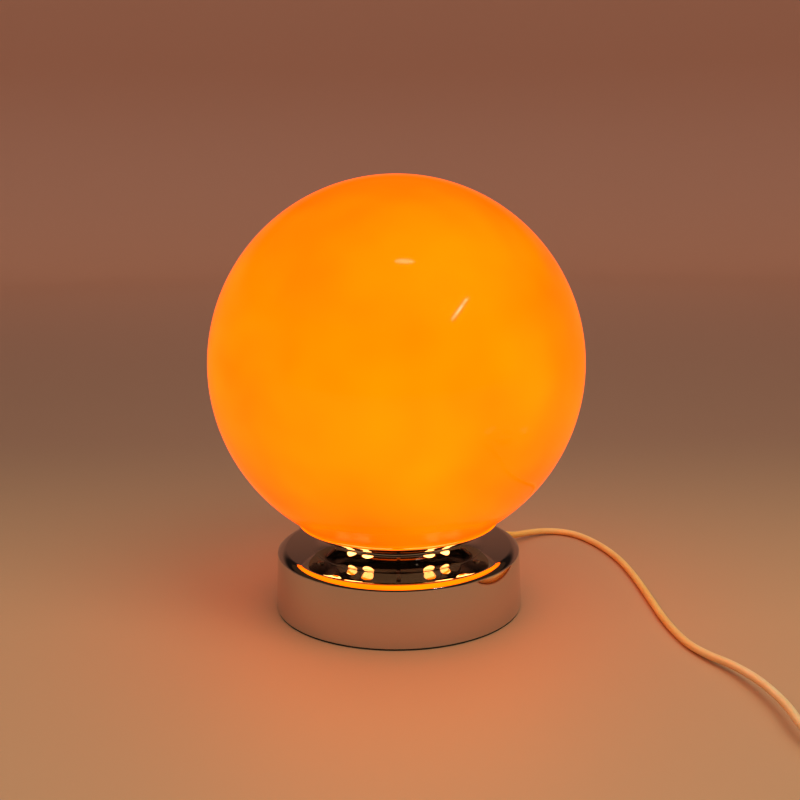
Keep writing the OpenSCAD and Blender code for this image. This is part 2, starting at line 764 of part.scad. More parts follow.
module switch_lower() {
    h = split_z - switch_floor;
    color("white") translate(switch_at) difference() {
        union() {
            difference() {
                translate([0, 0, switch_floor]) stadium(0, h);
                translate([0, 0, switch_floor + switch_wall]) stadium(switch_wall, h);
            }
            collars(switch_floor, split_z);
            for (s = [-1, 1]) translate([s * switch_boss_at, 0, switch_floor])
                cylinder(r = 3.4, h = h);
            for (s = [-1, 1]) translate([s * 8 - 3, -4, switch_floor]) cube([6, 8, 5]);
        }
        for (s = [-1, 1]) translate([s * switch_boss_at, 0, switch_floor - past]) {
            cylinder(r = 2.4 + fit, h = 1.6 + past);
            cylinder(r = switch_screw_r + fit, h = h + 2 * past);
        }
    }
}

module switch_upper() {
    h = switch_h - split_z;
    slot_l = rocker_l + 2 * rocker_gap + 1;
    slot_w = rocker_w + 2 * rocker_gap;
    color("white") translate(switch_at) difference() {
        union() {
            difference() {
                translate([0, 0, split_z]) stadium(0, h);
                translate([0, 0, split_z - past]) stadium(switch_wall, h - switch_wall + past);
            }
            collars(split_z, split_z + cord_r + 2);
            for (s = [-1, 1]) translate([s * switch_boss_at, 0, split_z]) cylinder(r = 3, h = h - 1);
            for (s = [-1, 1]) translate([-2.5, s * (slot_w / 2 + lug_t / 2) - lug_t / 2, pivot_z - 2.5])
                cube([5, lug_t, switch_h - 1 - pivot_z + 2.5]);
        }
        translate([-slot_l / 2, -slot_w / 2, split_z - past]) cube([slot_l, slot_w, h + 2 * past]);
        translate([0, switch_w / 2 - switch_wall, pivot_z]) rotate([90, 0, 0])
            cylinder(r = pin_r + fit, h = switch_w - 2 * switch_wall);
        for (s = [-1, 1]) translate([s * switch_boss_at, 0, split_z - past])
            cylinder(r = switch_screw_r + fit, h = h - 2 + past);
    }
}

module switch_rocker() {
    x = rocker_l / 2;
    color("black") translate(switch_at + [0, 0, pivot_z]) rotate([0, rocker_throw / 2, 0]) difference() {
        translate([0, rocker_w / 2, 0]) rotate([90, 0, 0]) linear_extrude(height = rocker_w) polygon([
            [-x, 3.2], [-x / 2, 2.5], [0, 2.2], [x / 2, 2.5], [x, 3.2], [x - 1.5, -1], [2.4, -2.6],
            [-2.4, -2.6], [-x + 1.5, -1]
        ]);
        translate([0, rocker_w, 0]) rotate([90, 0, 0]) cylinder(r = pin_r + running, h = 2 * rocker_w);
    }
}

module switch_pin() {
    l = rocker_w + 2 * rocker_gap + 2 * lug_t;
    color("silver") translate(switch_at + [0, l / 2, pivot_z]) rotate([90, 0, 0])
        cylinder(r = pin_r, h = l);
}

module switch_screws() {
    color("silver") for (s = [-1, 1]) translate(switch_at + [s * switch_boss_at, 0, switch_floor + 0.2]) {
        difference() {
            cylinder(r = 2.4, h = 1.4);
            translate([-3, -0.3, -past]) cube([6, 0.6, past + 0.6]);
        }
        translate([0, 0, 1.4]) cylinder(r = switch_screw_r, h = 9);
    }
}

module switch_contacts() {
    color("goldenrod") for (s = [-1, 1]) translate(switch_at + [s * 8 - 3, -4, switch_floor + 5]) {
        cube([6, 8, 0.8]);
        translate([2, 3, 0]) cube([2, 2, 1.6]);
    }
}

plug_nose = 10;

module plug_body() {
    r = plug_t / 2;
    side_r = 4;
    back = 9;
    color("white") translate(plug_at + [0, 0, plug_mid]) {
        intersection() {
            translate([0, 0, -r]) linear_extrude(height = plug_t) polygon([
                [-cord_r - 2.5, back - 1], [cord_r + 2.5, back - 1], [plug_w / 2 - side_r, plug_l - 14],
                [plug_w / 2, plug_l - plug_nose], [plug_w / 2, plug_l], [-plug_w / 2, plug_l],
                [-plug_w / 2, plug_l - plug_nose], [-plug_w / 2 + side_r, plug_l - 14]
            ]);
            translate([-plug_w, 0, 0]) rotate([90, 0, 90]) linear_extrude(height = 2 * plug_w) polygon([
                [0, -r + 2], [back + 4, -r], [plug_l - 1, -r], [plug_l, -r + 1], [plug_l, r - 1],
                [plug_l - 1, r], [back + 4, r], [0, r - 2]
            ]);
        }
        rotate([-90, 0, 0]) cylinder(r1 = cord_r + 0.8, r2 = cord_r + 2, h = back);
    }
}

sleeve_l = 10;
sleeve_t = 0.5;

module plug_pins() {
    r = pin_d / 2;
    color("silver") for (s = [-1, 1])
        translate(plug_at + [s * pin_gap / 2, plug_l, plug_mid]) rotate([-90, 0, 0]) {
            cylinder(r = r - sleeve_t - fit, h = sleeve_l);
            translate([0, 0, sleeve_l]) cylinder(r = r, h = pin_l - sleeve_l - 1);
            translate([0, 0, pin_l - 1]) cylinder(r1 = r, r2 = r - 1, h = 1);
        }
}

module pin_sleeves() {
    r = pin_d / 2;
    color("white") for (s = [-1, 1])
        translate(plug_at + [s * pin_gap / 2, plug_l, plug_mid]) rotate([-90, 0, 0]) difference() {
            cylinder(r = r, h = sleeve_l);
            translate([0, 0, -past]) cylinder(r = r - sleeve_t, h = sleeve_l + 2 * past);
        }
}

glass_globe();
globe_springs();
spring_rivets();
gallery();
neck();
base_shell();
foot_ring();
bottom_plate();
bottom_screws();
plate_brackets();
felt_pad();
ballast();
threaded_tube();
tube_nuts();
tube_washers();
holder_cap();
holder_body();
holder_insert();
holder_shell();
holder_contact();
holder_terminals();
lead_inside();
core_brown();
core_blue();
cord_clamp();
clamp_screws();
strain_relief();
bulb_contact();
bulb_insulator();
bulb_cap();
bulb_collar();
led_plate();
bulb_dome();
cord_run();
switch_lower();
switch_upper();
switch_rocker();
switch_pin();
switch_screws();
switch_contacts();
cord_link();
cord_coil();
cord_tail();
coil_tie();
plug_body();
plug_pins();
pin_sleeves();
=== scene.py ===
import math

import bpy
from mathutils import Matrix, Vector


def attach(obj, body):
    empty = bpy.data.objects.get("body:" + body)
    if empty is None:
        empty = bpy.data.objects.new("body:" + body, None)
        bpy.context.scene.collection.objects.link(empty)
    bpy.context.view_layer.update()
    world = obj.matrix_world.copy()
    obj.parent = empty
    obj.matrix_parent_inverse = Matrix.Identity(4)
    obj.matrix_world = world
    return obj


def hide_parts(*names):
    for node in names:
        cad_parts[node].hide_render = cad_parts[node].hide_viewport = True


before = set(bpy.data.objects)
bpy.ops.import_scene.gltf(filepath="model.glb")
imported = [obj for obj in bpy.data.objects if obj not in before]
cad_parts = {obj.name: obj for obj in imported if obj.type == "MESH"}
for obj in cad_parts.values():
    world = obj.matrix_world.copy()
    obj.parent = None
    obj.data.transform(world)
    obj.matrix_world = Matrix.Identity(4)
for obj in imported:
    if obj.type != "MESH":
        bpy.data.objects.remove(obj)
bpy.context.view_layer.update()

# Camera. It stands in front of the lamp, a little under the top of the globe, looks down by about
# twelve degrees, and is turned by half a degree, as the photograph is.
bpy.ops.object.select_all(action="DESELECT")
bpy.ops.object.camera_add(location=(0.0021, -0.7394, 0.2952))
camera = bpy.context.object
camera.name = "camera"
camera.rotation_mode = "ZYX"
camera.rotation_euler = (math.radians(90 - 11.63), 0, math.radians(-0.59))
camera.data.sensor_width = 36
camera.data.lens = 50.4
bpy.context.scene.camera = camera
bpy.context.scene.view_settings.view_transform = "Standard"

# Lead. A round two-core lead of 5 mm in a soft, half clear plastic sheath, with a painted glow near the
# lamp.
# It lies from the back of the drum round its right side, goes through the switch and a tied coil,
# and ends in the plug.
lead_bore = 0.005
lead_start = [
    (0.069, 0.092, 0.014), (0.072, 0.096, 0.0139), (0.0762, 0.1016, 0.0133), (0.083, 0.111, 0.0105),
    (0.093, 0.121, 0.0065), (0.105, 0.1315, 0.0046), (0.118, 0.1385, 0.0034),
    (0.131, 0.1392, 0.0027), (0.144, 0.131, 0.0026), (0.155, 0.113, 0.0026),
    (0.163, 0.091, 0.0026), (0.1685, 0.066, 0.0026), (0.1715, 0.038, 0.0026),
    (0.173, 0.01, 0.0026), (0.174, -0.018, 0.0026), (0.175, -0.043, 0.0026),
    (0.1775, -0.066, 0.0026), (0.1815, -0.086, 0.0028), (0.1885, -0.1035, 0.0038),
    (0.197, -0.1195, 0.0052), (0.2035, -0.1375, 0.0066), (0.208, -0.157, 0.0075),
    (0.2105, -0.179, 0.008), (0.211, -0.201, 0.008), (0.215, -0.216, 0.008),
    (0.2235, -0.2265, 0.008), (0.231, -0.23, 0.008), (0.236, -0.23, 0.008)]
lead_link = [
    (0.296, -0.23, 0.008), (0.301, -0.23, 0.008), (0.309, -0.2275, 0.0068),
    (0.3165, -0.2215, 0.0054), (0.321, -0.213, 0.0044), (0.323, -0.203, 0.0038),
    (0.323, -0.192, 0.0037), (0.323, -0.177, 0.0037)]
lead_tail = [
    (0.323, -0.167, 0.0093), (0.323, -0.159, 0.0089), (0.323, -0.15, 0.0082),
    (0.323, -0.141, 0.0073), (0.323, -0.135, 0.00695), (0.323, -0.13, 0.00695)]
coil_middle = Vector((0.2856, -0.172, 0.0037))
coil_reach = 0.0374
coil_pitch = 0.0056
coil_turns = 3
coil_steps = 36
stop_steps = 6


def laid(stops):
    """Points of a smooth line through the stops."""
    stops = [Vector(s) for s in stops]
    stops = [2 * stops[0] - stops[1]] + stops + [2 * stops[-1] - stops[-2]]
    line = []
    for a, b, c, d in zip(stops, stops[1:], stops[2:], stops[3:]):
        for k in range(stop_steps):
            t = k / stop_steps
            line.append(0.5 * (2 * b + (c - a) * t + (2 * a - 5 * b + 4 * c - d) * t * t
                + (3 * b - a - 3 * c + d) * t ** 3))
    return line + [stops[-2]]


def coiled():
    """Points of the coil: its turns run in on the lower layer and out again on the upper one."""
    line = []
    for k in range(2 * coil_turns * coil_steps + 1):
        t = k / coil_steps
        reach = coil_reach - coil_pitch * min(t, 2 * coil_turns - t)
        climb = max(0, min(1, (t - coil_turns + 0.25) * 2))
        height = coil_pitch * climb * climb * (3 - 2 * climb)
        turn = 2 * math.pi * t
        line.append(coil_middle + Vector((reach * math.cos(turn), reach * math.sin(turn), height)))
    return line


lead_line = laid(lead_start) + laid(lead_link) + coiled() + laid(lead_tail)
lead_curve = bpy.data.curves.new("lead", "CURVE")
lead_curve.dimensions = "3D"
spline = lead_curve.splines.new("POLY")
spline.points.add(len(lead_line) - 1)
for stop, place in zip(spline.points, lead_line):
    stop.co = (*place, 1)
lead_curve.bevel_depth = lead_bore / 2
lead_curve.bevel_resolution = 5
lead_curve.use_fill_caps = True
lead = bpy.data.objects.new("lead", lead_curve)
bpy.context.scene.collection.objects.link(lead)


def finish_for(name, colour, roughness, metallic=0.0):
    """A new finish, with its nodes, its links and its shader."""
    material = bpy.data.materials.new(name)
    material.use_nodes = True
    nodes = material.node_tree.nodes
    shader = nodes["Principled BSDF"]
    shader.inputs["Base Color"].default_value = (*colour, 1)
    shader.inputs["Roughness"].default_value = roughness
    shader.inputs["Metallic"].default_value = metallic
    return material, nodes, material.node_tree.links, shader


def cloud(nodes, links, scale, detail=3, stretch=(1, 1, 1)):
    """A noise over the piece. scale is in ups and downs a metre."""
    place = nodes.new("ShaderNodeTexCoord")
    mapping = nodes.new("ShaderNodeMapping")
    mapping.inputs["Scale"].default_value = stretch
    noise = nodes.new("ShaderNodeTexNoise")
    noise.inputs["Scale"].default_value = scale
    noise.inputs["Detail"].default_value = detail
    links.new(place.outputs["Object"], mapping.inputs["Vector"])
    links.new(mapping.outputs["Vector"], noise.inputs["Vector"])
    return noise.outputs["Fac"]


def ramp(nodes, links, source, stops, socket=None):
    """A run of colours along source, led to a socket if there is one."""
    band = nodes.new("ShaderNodeValToRGB")
    while len(band.color_ramp.elements) < len(stops):
        band.color_ramp.elements.new(0.5)
    for element, (at, colour) in zip(band.color_ramp.elements, stops):
        element.position = at
        element.color = (*colour, 1)
    links.new(source, band.inputs["Fac"])
    if socket:
        links.new(band.outputs["Color"], socket)
    return band


def mapped(nodes, links, source, start, end, low=0, high=1):
    """Turns source into a number that goes from low, at start, to high, at end."""
    spread = nodes.new("ShaderNodeMapRange")
    for name, number in (("From Min", start), ("From Max", end), ("To Min", low), ("To Max", high)):
        spread.inputs[name].default_value = number
    links.new(source, spread.inputs["Value"])
    return spread


def uneven(nodes, links, source, low, high, socket):
    """Leads a noise to a socket, as a number between low and high."""
    spread = mapped(nodes, links, source, 0.3, 0.7, low, high)
    links.new(spread.outputs["Result"], socket)


def relief(nodes, links, source, depth, shader):
    """A fine relief. depth is its height in metres."""
    bump = nodes.new("ShaderNodeBump")
    bump.inputs["Distance"].default_value = depth
    links.new(source, bump.inputs["Height"])
    links.new(bump.outputs["Normal"], shader.inputs["Normal"])


def tinted(nodes, links, tint, source, stops):
    """Multiplies a tint by colours that change softly along source, at stops in metres."""
    first, last = stops[0][0], stops[-1][0]
    part = mapped(nodes, links, source, first, last)
    both = nodes.new("ShaderNodeMix")
    both.data_type = "RGBA"
    both.blend_type = "MULTIPLY"
    both.inputs["Factor"].default_value = 1
    links.new(tint, both.inputs["A"])
    parts = [((at - first) / (last - first), colour) for at, colour in stops]
    band = ramp(nodes, links, part.outputs["Result"], parts, both.inputs["B"])
    band.color_ramp.interpolation = "B_SPLINE" if len(stops) > 2 else "EASE"
    return both.outputs["Result"]


sheath, nodes, links, shader = finish_for("lead_sheath_painted_glow", (0.8, 0.58, 0.34), 0.34)
shader.inputs["Subsurface Weight"].default_value = 0.5
shader.inputs["Subsurface Scale"].default_value = 0.003
shader.inputs["Subsurface Radius"].default_value = (1.0, 0.7, 0.5)
plastic = ramp(nodes, links, cloud(nodes, links, 60), [(0.35, (0.9, 0.61, 0.27)),
    (0.65, (0.95, 0.68, 0.33))])
place = nodes.new("ShaderNodeTexCoord")
reach = nodes.new("ShaderNodeVectorMath")
reach.operation = "LENGTH"
links.new(place.outputs["Object"], reach.inputs[0])
# Painted glow: near the lamp the sheath's colour loses blue and turns orange-yellow, as if lit by the
# globe.
painted_glow_tint = tinted(nodes, links, plastic.outputs["Color"], reach.outputs["Value"],
    [(0.12, (1.0, 0.85, 0.3)), (0.26, (1.0, 1.0, 1.0))])
links.new(painted_glow_tint, shader.inputs["Base Color"])
uneven(nodes, links, cloud(nodes, links, 220), 0.28, 0.42, shader.inputs["Roughness"])
relief(nodes, links, cloud(nodes, links, 500, 4), 0.00006, shader)
lead_curve.materials.append(sheath)
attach(lead, "base")
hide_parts("cord_run", "cord_link", "cord_coil", "cord_tail")

# Table and light. A pale sweep runs all round the lamp and turns up into a wall. Its colour holds
# painted shade: it darkens behind the lamp, grows lighter again towards the wall, and goes dark
# high up and far in front. The sky is an even soft light. A ceiling lamp and a slim tube show in
# the gloss of the glass.
sweep_reach = 2.4
sweep_edge = sweep_reach - 0.01
bend_steps = 8
bend_step = 0.12
wall_height = 1.2
bpy.ops.object.select_all(action="DESELECT")
bpy.ops.mesh.primitive_circle_add(vertices=128, radius=sweep_reach, fill_type="NGON")
sweep = bpy.context.object
sweep.name = "sweep"
bpy.ops.object.mode_set(mode="EDIT")
bpy.ops.mesh.select_all(action="SELECT")
bpy.ops.mesh.inset(thickness=sweep_reach / 2)
bpy.ops.mesh.select_all(action="INVERT")
bpy.ops.object.mode_set(mode="OBJECT")
for edge in sweep.data.edges:
    ends = [sweep.data.vertices[v].co for v in edge.vertices]
    edge.select = all(end.xy.length > sweep_edge for end in ends)
for vertex in sweep.data.vertices:
    vertex.select = vertex.co.xy.length > sweep_edge
for face in sweep.data.polygons:
    face.select = False
bpy.ops.object.mode_set(mode="EDIT")
bpy.ops.mesh.select_mode(type="EDGE")
for step in range(bend_steps):
    tilt = math.pi / 2 * (step + 0.5) / bend_steps
    climb = bend_step * math.sin(tilt)
    grown = 1 + bend_step * math.cos(tilt) / 2.6
    bpy.ops.mesh.extrude_region_move(TRANSFORM_OT_translate={"value": (0, 0, climb)})
    bpy.ops.transform.resize(value=(grown, grown, 1), center_override=(0, 0, 0))
bpy.ops.mesh.extrude_region_move(TRANSFORM_OT_translate={"value": (0, 0, wall_height)})
bpy.ops.object.mode_set(mode="OBJECT")
bpy.ops.object.shade_smooth()


def parted(nodes, links):
    """The place on a piece, parted into its X, Y and Z."""
    place = nodes.new("ShaderNodeTexCoord")
    parts = nodes.new("ShaderNodeSeparateXYZ")
    links.new(place.outputs["Object"], parts.inputs["Vector"])
    return parts


pale = (0.66, 0.37, 0.165)
full = (1.0, 1.0, 1.0)
painted_dark = (0.05, 0.05, 0.05)
paper_painted_shade, nodes, links, shader = finish_for("paper_painted_shade", pale, 0.6)
parts = parted(nodes, links)
plain = nodes.new("ShaderNodeRGB")
plain.outputs[0].default_value = (*pale, 1)
# Painted shade: darker behind the lamp, lighter again towards the wall, dark high up and far in front.
tint = tinted(nodes, links, plain.outputs[0], parts.outputs["Y"],
    [(-0.05, full), (0.5, (0.36, 0.31, 0.42)), (sweep_reach, (0.97, 0.73, 0.9))])
tint = tinted(nodes, links, tint, parts.outputs["Z"], [(0.8, full), (1.5, painted_dark)])
tint = tinted(nodes, links, tint, parts.outputs["Y"], [(-1.6, painted_dark), (-0.75, full)])
links.new(tint, shader.inputs["Base Color"])
sweep.data.materials.append(paper_painted_shade)

sky = bpy.data.worlds.new("sky")
bpy.context.scene.world = sky
sky.use_nodes = True
nodes, links = sky.node_tree.nodes, sky.node_tree.links
even = nodes["Background"]
even.inputs["Color"].default_value = (0.95, 0.93, 0.92, 1)
even.inputs["Strength"].default_value = 0.8
seen = nodes.new("ShaderNodeBackground")
seen.inputs["Color"].default_value = (0.05, 0.024, 0.012, 1)
rays = nodes.new("ShaderNodeLightPath")
looking = rays.outputs["Is Camera Ray"]
for kind in ("Is Glossy Ray", "Is Transmission Ray"):
    either = nodes.new("ShaderNodeMath")
    either.operation = "MAXIMUM"
    links.new(looking, either.inputs[0])
    links.new(rays.outputs[kind], either.inputs[1])
    looking = either.outputs["Value"]
mix = nodes.new("ShaderNodeMixShader")
links.new(looking, mix.inputs["Fac"])
links.new(even.outputs["Background"], mix.inputs[1])
links.new(seen.outputs["Background"], mix.inputs[2])
links.new(mix.outputs["Shader"], nodes["World Output"].inputs["Surface"])

lit_point = Vector((0, 0, 0.168))


def lamp_at(name, place, along, size, watts, colour):
    """A flat round or long lamp that faces the globe, with its long side along a direction."""
    bpy.ops.object.light_add(type="AREA", location=place)
    light = bpy.context.object
    light.name = name
    back = (Vector(place) - lit_point).normalized()
    side = (Vector(along) - back * back.dot(Vector(along))).normalized()
    light.rotation_euler = Matrix((side, back.cross(side), back)).transposed().to_euler()
    light.data.shape = "ELLIPSE"
    light.data.size, light.data.size_y = size
    light.data.energy = watts
    light.data.color = colour
    return light


key = lamp_at("key", (0.9, -1.1, 1.9), (1, 0, 0), (1.3, 1.3), 10, (1, 0.97, 0.94))
key.visible_glossy = False
lamp_at("ceiling_lamp", (0.1, -0.488, 1.375), (1, 0, 0), (0.205, 0.066), 0.5, (1, 0.82, 0.6))
lamp_at("slim_tube", (0.472, -0.526, 0.663), (0.096, 0.203, 0.108), (0.25, 0.003), 0.3,
    (1, 0.9, 0.8))

# Globe. A ball of orange opal glass 250 mm wide and 3 mm thick, blown in a mould, with a short
# straight lip whose cut edge is melted round. Its glow is painted: the outer wall emits light of its
# own, yellower at the bulb's height and redder towards top, bottom and rim, and brighter in
# reflections; the inner wall emits too.
globe_middle = 0.1677
globe_radius = 0.125
glass_wall = 0.003
lip_low = 0.0623
lip_round = 0.0012


def arc(middle, radius, start, stop, steps):
    """Points of an arc, from start to stop in degrees, as (radius, height) pairs."""
    turns = [math.radians(start + (stop - start) * k / steps) for k in range(steps + 1)]
    return [(middle[0] + radius * math.cos(a), middle[1] + radius * math.sin(a)) for a in turns]


def turned(name, outline, steps=160, crease=30):
    """A closed outline of (radius, height) points, spun once round the lamp's axis."""
    bpy.ops.object.select_all(action="DESELECT")
    bpy.ops.mesh.primitive_circle_add(vertices=len(outline), radius=0.1)
    piece = bpy.context.object
    piece.name = name
    for corner, (radius, height) in zip(piece.data.vertices, outline):
        corner.co = (max(radius, 0), 0, height)
    bpy.ops.object.mode_set(mode="EDIT")
    bpy.ops.mesh.select_all(action="SELECT")
    bpy.ops.mesh.spin(steps=steps, angle=2 * math.pi, center=(0, 0, 0), axis=(0, 0, 1))
    bpy.ops.mesh.select_all(action="SELECT")
    bpy.ops.mesh.remove_doubles(threshold=0.000002)
    bpy.ops.mesh.dissolve_degenerate(threshold=0.000001)
    bpy.ops.mesh.select_all(action="SELECT")
    bpy.ops.mesh.normals_make_consistent(inside=False)
    bpy.ops.object.mode_set(mode="OBJECT")
    bpy.ops.object.shade_smooth_by_angle(angle=math.radians(crease))
    return piece


globe_outline = arc((0, globe_middle), globe_radius, -57.05, 90, 90)
globe_outline += arc((0, globe_middle), globe_radius - glass_wall, 90, -57.8, 90)
globe_outline += [(0.065, 0.0633)] + arc((0.0662, lip_low), lip_round, 180, 270, 5)
globe_outline += arc((0.0668, lip_low), lip_round, 270, 360, 5)
globe = turned("globe", globe_outline)

# Painted glow: emission on the glass stands in for the bulb's light through it; it is yellower at the
# bulb's height, redder where seen at a slant, and 2.7 times as strong in reflections.
opal, nodes, links, shader = finish_for("orange_opal_painted_glow", (0.5, 0.1, 0.0), 0.06)
height = mapped(nodes, links, parted(nodes, links).outputs["Z"], 0.06, 0.2927)
painted_glow_height = nodes.new("ShaderNodeFloatCurve")
painted_glow_height.mapping.curves[0].points[0].location = (0, 0.55)
painted_glow_height.mapping.curves[0].points[1].location = (1, 0.3)
painted_glow_height.mapping.curves[0].points.new(0.25, 0.85)
painted_glow_height.mapping.curves[0].points.new(0.5, 0.85)
painted_glow_height.mapping.update()
links.new(height.outputs["Result"], painted_glow_height.inputs["Value"])
facing = nodes.new("ShaderNodeLayerWeight")
facing.inputs["Blend"].default_value = 0.35
side = nodes.new("ShaderNodeMath")
side.operation = "MULTIPLY_ADD"
side.inputs[1].default_value = -0.75
links.new(facing.outputs["Facing"], side.inputs[0])
links.new(painted_glow_height.outputs["Value"], side.inputs[2])
clouds = mapped(nodes, links, cloud(nodes, links, 13, 2), 0.3, 0.7, -0.25, 0.25)
clouds.clamp = False
painted_glow = nodes.new("ShaderNodeMath")
links.new(side.outputs["Value"], painted_glow.inputs[0])
links.new(clouds.outputs["Result"], painted_glow.inputs[1])
ramp(nodes, links, painted_glow.outputs["Value"], [(0.0, (1.5, 0.135, 0.0)), (1.0, (1.6, 0.32, 0.0))],
    shader.inputs["Emission Color"])
gloss = mapped(nodes, links, facing.outputs["Facing"], 0.3, 0.9, 0.14, 0.08)
links.new(gloss.outputs["Result"], shader.inputs["Specular IOR Level"])
rays = nodes.new("ShaderNodeLightPath")
painted_reflection_boost = nodes.new("ShaderNodeMath")
painted_reflection_boost.operation = "MULTIPLY_ADD"
painted_reflection_boost.inputs[1].default_value = 1.7
painted_reflection_boost.inputs[2].default_value = 1
links.new(rays.outputs["Is Glossy Ray"], painted_reflection_boost.inputs[0])
links.new(painted_reflection_boost.outputs["Value"], shader.inputs["Emission Strength"])
rough = mapped(nodes, links, height.outputs["Result"], 0.11, 0.03, 0.06, 0.5)
links.new(rough.outputs["Result"], shader.inputs["Roughness"])
relief(nodes, links, cloud(nodes, links, 25, 1), 0.00008, shader)
globe.data.materials.append(opal)

# Painted glow: the inner wall emits light too, which shows through the gallery's holes.
opal_inside_painted_glow, nodes, links, shader = finish_for("opal_inside_painted_glow", (0.85, 0.6, 0.3), 0.2)
shader.inputs["Emission Strength"].default_value = 3
ramp(nodes, links, cloud(nodes, links, 14, 2), [(0.3, (1.0, 0.5, 0.19)), (0.7, (1.0, 0.56, 0.22))],
    shader.inputs["Emission Color"])
globe.data.materials.append(opal_inside_painted_glow)
for face in globe.data.polygons:
    middle = face.center - Vector((0, 0, globe_middle))
    inside = middle.length < globe_radius - glass_wall / 2 and face.center.z > 0.064
    face.material_index = 1 if inside else 0
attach(globe, "globe")
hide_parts("glass_globe")

# Gallery. A dish of chromed brass with a thick turned rim, whose flat top carries the glass lip.
# Eight round holes in its floor, two beside each spring, let air in, and light out onto the drum.
# Its downward faces take a darker, duller copy of the chrome, as painted shade.
tube_hole = 0.00505
gallery_low = 0.0565
gallery_outline = [(tube_hole, gallery_low), (0.0623, gallery_low), (0.0627, 0.05662)]
gallery_outline += arc((0.0683, 0.0605), 0.0003, -57, 90, 8)
gallery_outline += arc((0.0616, 0.0606), 0.0003, 90, 180, 4)
gallery_outline += arc((0.0608, 0.0582), 0.0005, 0, -90, 5) + [(tube_hole, 0.0577)]
gallery = turned("gallery_dish", gallery_outline, 192)


def drilled(piece, radius, start, stop):
    """Cuts a round hole of that radius along the line from start to stop."""
    start, stop = Vector(start), Vector(stop)
    bpy.ops.object.select_all(action="DESELECT")
    bpy.ops.mesh.primitive_cylinder_add(vertices=48, radius=radius, depth=(stop - start).length,
        location=(start + stop) / 2, rotation=(stop - start).to_track_quat("Z", "Y").to_euler())
    drill = bpy.context.object
    bpy.context.view_layer.objects.active = piece
    cut = piece.modifiers.new("hole", "BOOLEAN")
    cut.object = drill
    cut.solver = "EXACT"
    bpy.ops.object.modifier_apply(modifier="hole")
    bpy.data.objects.remove(drill)


for radius, reach, turns in ((0.0065, 0.0545, (34, 56, 124, 146, 214, 236, 304, 326)),
        (0.00125, 0.0543, (0, 90, 180, 270))):
    for turn in turns:
        hole = (reach * math.cos(math.radians(turn)), reach * math.sin(math.radians(turn)))
        drilled(gallery, radius, (*hole, 0.055), (*hole, 0.059))

chrome, nodes, links, shader = finish_for("chrome", (0.61, 0.59, 0.57), 0.03, 1.0)
uneven(nodes, links, cloud(nodes, links, 90), 0.015, 0.045, shader.inputs["Roughness"])
gallery.data.materials.append(chrome)
chrome_painted_shade, nodes, links, shader = finish_for("chrome_painted_shade", (0.26, 0.23, 0.2), 0.06, 1.0)
uneven(nodes, links, cloud(nodes, links, 90), 0.04, 0.09, shader.inputs["Roughness"])
gallery.data.materials.append(chrome_painted_shade)
# Painted shade: faces that look down take the darker chrome.
for face in gallery.data.polygons:
    face.material_index = 1 if face.normal.z < -0.9 else 0
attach(gallery, "base")
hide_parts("gallery")

# Neck. Spun from one piece of chromed sheet: an upright collar that runs out in a wide, flat
# flare on the drum's top. The tube through its top holds it between drum and gallery.
drum_top = 0.0419
flare = [math.radians(90 * k / 24) for k in range(25)]
neck_outline = [(0.059, drum_top)]
neck_outline += [(0.059 - 0.015 * math.sin(a), 0.0422 + 0.0067 * (1 - math.cos(a))) for a in flare]
neck_outline += [(0.044, 0.0525), (0.044, gallery_low), (tube_hole, gallery_low),
    (tube_hole, 0.0553), (0.0428, 0.0553)]
neck_outline += [(0.057 - 0.0142 * math.sin(a), drum_top + 0.007 * (1 - math.cos(a)))
    for a in reversed(flare)]
neck = turned("neck_collar", neck_outline, 192)
neck.data.materials.append(chrome)
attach(neck, "base")
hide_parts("neck")

# Drum. Pressed from chromed sheet: a flat top, a shoulder that slopes down to a small round corner,
# and a wall that widens a little towards the foot. A round hole low in its back lets the lead out.
shoulder, corner = (0.07686, 0.0336), (0.0816, 0.03834)
drum_outline = [(0.0848, 0.0013), (0.085, 0.0016)] + arc(corner, 0.0016, 2, 45, 10)
drum_outline += arc(shoulder, 0.0083, 48, 90, 20) + [(tube_hole, drum_top), (tube_hole, 0.0407)]
drum_outline += arc(shoulder, 0.0071, 90, 48, 12) + arc(corner, 0.0004, 45, 2, 4) + [(0.0838, 0.0013)]
drum = turned("drum", drum_outline, 256)
drilled(drum, 0.005, (0.042, 0.056, 0.014), (0.06, 0.08, 0.014))
drum.data.materials.append(chrome)
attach(drum, "base")
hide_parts("base_shell")

# Foot ring. A black rubber ring under the drum's edge, so that the lamp stands without slipping.
# It shows as a thin dark line round the foot.
foot_outline = [(0.0754, 0.0003), (0.0757, 0.0)] + arc((0.084, 0.0004), 0.0004, -90, 0, 4)
foot_outline += [(0.0844, 0.0013), (0.0754, 0.0013)]
foot = turned("rubber_foot", foot_outline, 192)
rubber, nodes, links, shader = finish_for("black_rubber", (0.012, 0.012, 0.013), 0.7)
relief(nodes, links, cloud(nodes, links, 900, 3), 0.0001, shader)
foot.data.materials.append(rubber)
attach(foot, "base")
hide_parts("foot_ring")

# Springs and rivets. Four leaf springs of bent strip steel grip the glass lip from inside. A steel
# rivet holds the foot of each one to the gallery's floor.
def metal_for(name, colour, roughness, grain, stretch=(1, 1, 1)):
    """A bare or plated metal whose shine varies along its grain."""
    material, nodes, links, shader = finish_for(name, colour, roughness, 1.0)
    dark = tuple(0.86 * c for c in colour)
    ramp(nodes, links, cloud(nodes, links, 70), [(0.35, dark), (0.65, colour)],
        shader.inputs["Base Color"])
    uneven(nodes, links, cloud(nodes, links, grain, 4, stretch), roughness * 0.7, roughness * 1.4,
        shader.inputs["Roughness"])
    relief(nodes, links, cloud(nodes, links, grain, 4, stretch), 0.00002, shader)
    return material


